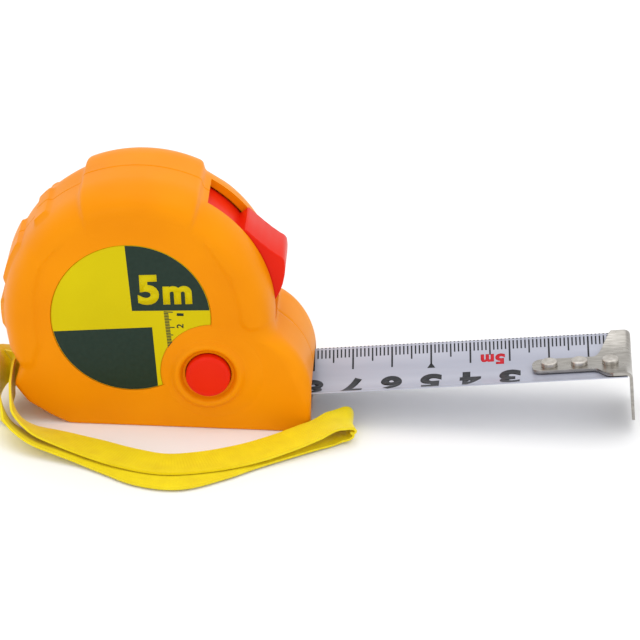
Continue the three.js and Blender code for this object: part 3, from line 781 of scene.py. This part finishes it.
def text_faces(text, width, height, weight, place, turn=0.0):
    """A text's flat faces, fitted to a width and height and turned about its lower left corner."""
    curve = bpy.data.curves.new("text", "FONT")
    curve.body = text
    curve.offset = weight
    curve.resolution_u = 5
    obj = bpy.data.objects.new("text", curve)
    bpy.context.scene.collection.objects.link(obj)
    bpy.context.view_layer.update()
    mesh = bpy.data.meshes.new_from_object(obj.evaluated_get(bpy.context.evaluated_depsgraph_get()))
    bpy.data.objects.remove(obj)
    work = bmesh.new()
    work.from_mesh(mesh)
    bmesh.ops.remove_doubles(work, verts=work.verts, dist=1e-5)
    lows = [min(v.co[k] for v in work.verts) for k in (0, 1)]
    spans = [max(v.co[k] for v in work.verts) - lows[k] for k in (0, 1)]
    cos, sin = math.cos(turn), math.sin(turn)
    for vert in work.verts:
        u = (vert.co.x - lows[0]) / spans[0] * width
        v = (vert.co.y - lows[1]) / spans[1] * height
        vert.co = (place[0] + u * cos - v * sin, place[1] + u * sin + v * cos, 0)
    return work


def join_work(parts):
    """Several text meshes as one."""
    whole = bmesh.new()
    for part in parts:
        mesh = bpy.data.meshes.new("part")
        part.to_mesh(mesh)
        part.free()
        whole.from_mesh(mesh)
    return whole


# ---- the labels ----

RULER_TICKS = 27
RULER_TOP = 32.2
RULER_STEP = 0.42
RULER_LEFT = 8.15
RULER_SLANT = 0.11
RULER_INK = 0.27


def label_surface(side):
    """Places on a label's face. The back label is turned about, so it reads right from behind."""
    return lambda u, v, h: (-side * u if side > 0 else u, side * (LABEL_FACE + h), v)


def label_quadrant(corner, first, last):
    """The part of the disc between two rays from a corner, angles of its arc in degrees."""
    return [corner] + arc(LABEL_CENTRE, LABEL_RADIUS - 0.15, first, last, 40)


def boss_gap():
    """Clears the front label's round bite beside the button's boss."""
    radius = BOSS_RADIUS + 0.1
    return turned("boss_gap", [(0, -30), (radius, -30), (radius, -10), (0, -10)], BOSS_CENTRE, 128)


def make_label(side, node):
    back = side * (LABEL_FACE - LABEL_THICKNESS + 0.05)
    rim = side * (LABEL_FACE - 0.12)
    face = side * LABEL_FACE
    disc = turned(f"{node}_disc", [
        (0, back), (LABEL_RADIUS, back), (LABEL_RADIUS, rim), (LABEL_RADIUS - 0.12, face), (0, face),
    ], LABEL_CENTRE, 160)
    if side < 0:
        combine(disc, boss_gap())
    shade(disc, 25)
    finish_piece(disc, LABEL_YELLOW, "case", [node])
    surface = label_surface(side)
    upper = label_quadrant((0.3, 32.0), 8.6, 94.5)
    lower = label_quadrant((5.3, 27.7), 193.0, 290.2)
    green = lay_print(f"{node}_green", [upper, lower], surface)
    if side < 0:
        combine(green, boss_gap())
    finish_piece(green, LABEL_GREEN, "case")


def make_label_print():
    """The generic length mark and the small ruler printed on the front label."""
    surface = label_surface(-1)
    raised = lambda u, v, h: surface(u, v, h + INK_DEPTH)
    lean = math.radians(3.5)
    mark = join_work([
        text_faces("5", 5.3, 8.2, 0.045, (1.9, 33.7), lean),
        text_faces("m", 7.2, 5.0, 0.045, (8.1, 34.1), lean),
    ])
    length_mark = press_print("label_length_mark", mark, raised)
    finish_piece(length_mark, LABEL_YELLOW, "case")
    ticks = []
    for i in range(RULER_TICKS):
        v = RULER_TOP - RULER_STEP * i
        left = RULER_LEFT + RULER_SLANT * i * RULER_STEP
        length = 2.3 if i % 10 == 0 else 1.7 if i % 5 == 0 else 1.15
        ticks.append([(left, v), (left + length, v), (left + length, v - RULER_INK), (left, v - RULER_INK)])
    ruler = lay_print("label_ruler", ticks, surface)
    finish_piece(ruler, LABEL_GREEN, "case")
    numbers = join_work([
        text_faces(figure, wide, 1.7, 0.02, (13.1, low), math.radians(90))
        for figure, wide, low in (("1", 0.75, 31.1), ("2", 1.2, 27.7))
    ])
    figures = press_print("label_numbers", numbers, surface)
    finish_piece(figures, LABEL_GREEN, "case")


make_label(-1, "front_label")
make_label(1, "back_label")
make_label_print()


# ---- the thumb lock ----

KNOB_CURVE = (  # the knob's outer radius about the case's centre, and the angle in degrees
    (34.1, 6.0), (35.3, 9), (36.5, 12.5), (37.5, 16), (38.3, 19.5), (38.65, 21.8), (38.45, 23.2),
    (37.6, 25.0), (36.5, 28.2), (35.6, 32), (34.95, 36), (34.5, 40.7),
)
KNOB_HALF = 6.9
LOCK_HALF = 8.2


def make_lock():
    radii, angles = zip(*KNOB_CURVE)
    outer = []
    for angle in np.linspace(angles[0], angles[-1], 60):
        outer += arc(CASE_CENTRE, float(np.interp(angle, angles, radii)), angle, angle, 0)
    knob = prism("knob", outer + arc(CASE_CENTRE, 31.0, angles[-1], angles[0], 24), -KNOB_HALF, KNOB_HALF)
    soften(knob, 0.45, 3, 55)
    strip = prism("thumb_lock_body", arc_band(29.7, 31.6, -11, 75), -LOCK_HALF, LOCK_HALF)
    soften(strip, 0.25, 2, 55)
    combine(strip, knob, "UNION")
    shade(strip, 34)
    finish_piece(strip, RED, "lock", ["thumb_lock"])


make_lock()


# ---- the side button ----

def make_button():
    profile = [(0, -19.25)]
    for k in range(9):
        turn = math.radians(90) * k / 8
        profile.append((BUTTON_RADIUS - 1.2 + 1.2 * math.sin(turn), -19.15 + 0.9 * (1 - math.cos(turn))))
    profile += [(BUTTON_RADIUS, -15.4), (7.2, -15.4), (7.2, -14.8), (0, -14.8)]
    button = turned("button_cap", profile, BUTTON_CENTRE, 128)
    shade(button, 40)
    finish_piece(button, RED, "button", ["side_button"])


make_button()


# ---- the blade, its print, the hook and the rivets ----

MOUTH_X = FRONT_X
CHORD_AT_HOOK = BLADE_EDGE_AT_MOUTH + (HOOK_X - MOUTH_X) * math.tan(BLADE_PITCH)


def from_blade(x, y, z):
    """A place in the blade's own frame, X along it from the hook's inner face, as a row place."""
    cos, sin = math.cos(BLADE_PITCH), math.sin(BLADE_PITCH)
    return (HOOK_X + x * cos - z * sin, y, CHORD_AT_HOOK + x * sin + z * cos)


def along_blade(x):
    return (x - HOOK_X) / math.cos(BLADE_PITCH)


def blade_height(u, v):
    """Height of the blade's middle surface: flat where it leaves the coil, curved from the mouth on."""
    start = along_blade(BLADE_INNER_X)
    opened = smooth_step((u - start) / (along_blade(34) - start))
    inside = np.clip((along_blade(MOUTH_X) - u) / (along_blade(MOUTH_X) - start), 0, None)
    return -BLADE_SAG + 1.1 * inside**2 + BLADE_SAG * opened * (v / BLADE_HALF) ** 2


def ink_surface(u, v, h):
    return from_blade(u, v, float(blade_height(u, v)) + BLADE_THICKNESS / 2 + h)


def follow_blade(obj):
    """Bakes the piece's placement into its mesh."""
    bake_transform(obj)


def make_blade():
    us = np.linspace(along_blade(BLADE_INNER_X), -0.4, 110)
    vs = np.linspace(-BLADE_HALF, BLADE_HALF, 25)
    grid = np.array([[from_blade(u, v, float(blade_height(u, v))) for v in vs] for u in us])
    blade = thick_grid("steel_blade", grid, BLADE_THICKNESS)
    shade(blade, 50)
    finish_piece(blade, ENAMEL, None, ["blade"])
    follow_blade(blade)


TICK_LENGTHS = {10: 7.5, 5: 4.8, 1: 3.2}
TICK_WIDTHS = {10: 0.46, 5: 0.4, 1: 0.38}
LAST_TICK = 112


def make_ticks():
    shapes = []
    for n in range(1, LAST_TICK):
        kind = 10 if n % 10 == 0 else 5 if n % 5 == 0 else 1
        half = TICK_WIDTHS[kind] / 2
        end = BLADE_HALF - 0.02
        shapes.append([(-n - half, end - TICK_LENGTHS[kind]), (-n + half, end - TICK_LENGTHS[kind]),
                       (-n + half, end), (-n - half, end)])
    for n in range(50, LAST_TICK, 50):
        shapes.append([(-n, 6.0), (-n - 1.05, 3.8), (-n + 1.05, 3.8)])
    cuts = [((0, v, 0), (0, 1, 0)) for v in np.arange(4, 12.5, 1.0)]
    ticks = lay_print("blade_ticks", shapes, ink_surface, cuts)
    finish_piece(ticks, BLACK_INK, None)
    follow_blade(ticks)


def make_digits():
    """Centimetre numbers in the near half, read from the other side."""
    parts = []
    for n in range(3, 12):
        wide = 5.4 if n < 10 else 9.4
        parts.append(text_faces(str(n), wide, 10.4, 0.055, (-10 * n + wide / 2, 1.0), math.pi))
    cuts = [((0, float(v), 0), (0, 1, 0)) for v in np.arange(-9, 1.5, 0.8)]
    digits = press_print("blade_digits", join_work(parts), ink_surface, cuts)
    finish_piece(digits, BLACK_INK, None)
    follow_blade(digits)
    mark = join_work([
        text_faces("5", 2.5, 4.0, 0.055, (-31.2, 7.9), math.pi),
        text_faces("m", 3.4, 2.9, 0.055, (-34.0, 7.9), math.pi),
    ])
    cuts = [((0, float(v), 0), (0, 1, 0)) for v in np.arange(5.5, 9.0, 0.8)]
    red = press_print("blade_length_mark", mark, ink_surface, cuts)
    finish_piece(red, RED_INK, None)
    follow_blade(red)


make_blade()
make_ticks()
make_digits()

DROP_ROWS = 20  # rows of points down the hook's drop
TAIL_HEIGHT = -BLADE_SAG + BLADE_THICKNESS / 2 + 0.32 + HOOK_THICKNESS / 2
HOOK_HALF = BLADE_HALF - 0.3
NECK_HALF = 3.3
DROP_HALF = 9.0
TAIL_ROUND = 2.6
CORNER_RADIUS = 1.6
BEND_RADIUS = 1.3


def hook_half_width(s, tail_length, bend_length, drop_length):
    """Half width of the hook's plate at a distance along it from the tail's round end."""
    if s < TAIL_ROUND:
        return 1.0 + (NECK_HALF - 1.0) * math.sqrt(max(0.0, 1 - (1 - s / TAIL_ROUND) ** 2))
    if s < tail_length + bend_length:
        flare = smooth_step((s - (tail_length - 8.2)) / 5.2)
        return NECK_HALF + (HOOK_HALF - NECK_HALF) * float(flare) ** 1.3
    down = s - tail_length - bend_length
    narrowed = min(1.0, max(0.0, down - CORNER_RADIUS) / (drop_length - CORNER_RADIUS))
    taper = HOOK_HALF - (HOOK_HALF - DROP_HALF) * narrowed
    rest = drop_length - down
    if rest >= CORNER_RADIUS:
        return taper
    return taper - CORNER_RADIUS + math.sqrt(max(0.0, CORNER_RADIUS**2 - (CORNER_RADIUS - rest) ** 2))


def hook_sag(y):
    return TAIL_HEIGHT + BLADE_SAG * (y / BLADE_HALF) ** 2


def make_hook():
    plane_x = HOOK_THICKNESS / 2
    tail_length = HOOK_TAIL + plane_x - BEND_RADIUS
    bend_length = BEND_RADIUS * math.pi / 2
    bend_end = tail_length + bend_length
    drop_length = TAIL_HEIGHT - BEND_RADIUS + HOOK_DROP
    stops = np.concatenate([
        np.linspace(0, TAIL_ROUND, 9)[:-1],
        np.linspace(TAIL_ROUND, tail_length, 34)[:-1],
        np.linspace(tail_length, bend_end, 9)[:-1],
        np.full(DROP_ROWS, bend_end),
    ])
    first_drop = len(stops) - DROP_ROWS
    rows = []
    for index, s in enumerate(stops):
        on_drop = max(0, index - first_drop) / (DROP_ROWS - 1)
        row = []
        for v in np.linspace(-1, 1, 33):
            if s <= tail_length:
                y = v * hook_half_width(s, tail_length, bend_length, drop_length)
                row.append(from_blade(-HOOK_TAIL + s, y, hook_sag(y)))
            elif index < first_drop:
                turn = (s - tail_length) / BEND_RADIUS
                y = v * HOOK_HALF
                row.append(from_blade(plane_x - BEND_RADIUS + BEND_RADIUS * math.sin(turn), y,
                                      hook_sag(y) - BEND_RADIUS * (1 - math.cos(turn))))
            else:
                down = on_drop * drop_length
                y = v * hook_half_width(bend_end + down, tail_length, bend_length, drop_length)
                top = hook_sag(v * HOOK_HALF) - BEND_RADIUS
                row.append(from_blade(plane_x, y, top - (HOOK_DROP + top) * on_drop))
        rows.append(row)
    hook = thick_grid("hook_plate", np.array(rows), HOOK_THICKNESS * 0.86)
    soften(hook, 0.14, 2, 50)
    shade(hook, 40)
    finish_piece(hook, HOOK_STEEL, "hook", ["end_hook"])


def make_rivets():
    seat = TAIL_HEIGHT + HOOK_THICKNESS / 2
    foot = -BLADE_SAG - BLADE_THICKNESS / 2
    foot_profile = ((0, 0.62), (1.1, 0.58), (1.6, 0.36), (1.7, 0.08), (1.0, 0.02))
    head_profile = ((1.0, 0), (2.1, 0.02), (2.1, 0.95), (2.02, 1.1), (1.85, 1.2), (1.5, 1.25), (0, 1.27))
    profile = [(radius, foot - depth) for radius, depth in foot_profile]
    profile += [(radius, seat + rise) for radius, rise in head_profile]
    for number, x in enumerate(RIVETS, start=1):
        rivet = turned(f"rivet_{number}", profile, (0, 0), 48, lambda a, b, h: from_blade(x + a, b, h))
        shade(rivet, 35)
        finish_piece(rivet, RIVET_STEEL, "blade", [f"hook_rivet_{number}"])


make_hook()
make_rivets()


# ---- the screws in the back ----

def make_screws():
    top = SCREW_SEAT + 2.0
    for number, place in enumerate(SCREWS, start=1):
        head = turned(f"screw_{number}", [
            (0, -8.0), (1.0, -7.0), (1.0, SCREW_SEAT + 0.1), (2.25, SCREW_SEAT + 0.1),
            (SCREW_HEAD, SCREW_SEAT + 0.3), (2.25, top - 0.75), (1.9, top - 0.35), (1.2, top - 0.08),
            (0, top),
        ], place, 48)
        for wide, high in ((1.25, 0.24), (0.24, 1.25)):
            x, z = place
            combine(head, block("recess", x - wide, x + wide, top - 0.9, top + 1, z - high, z + high))
        shade(head, 35)
        finish_piece(head, STEEL, "case", [f"case_screw_{number}"])


make_screws()


# ---- CAD nodes that show as they are, with their materials ----

NODE_MATERIALS = {
    "brake_lever_pin": STEEL, "strap_pin": STEEL, "mouth_plate": STEEL, "button_spring": STEEL,
    "power_spring": STEEL, "tape_coil": ENAMEL, "centre_post": DARK_PLASTIC, "spool": DARK_PLASTIC,
    "spring_cover": DARK_PLASTIC, "brake_lever": DARK_PLASTIC, "brake_pad": RUBBER, "button_pad": RUBBER,
}


def dress_nodes():
    for name, made in NODE_MATERIALS.items():
        node = NODES[name]
        node.data.materials.clear()
        node.data.materials.append(made)


dress_nodes()
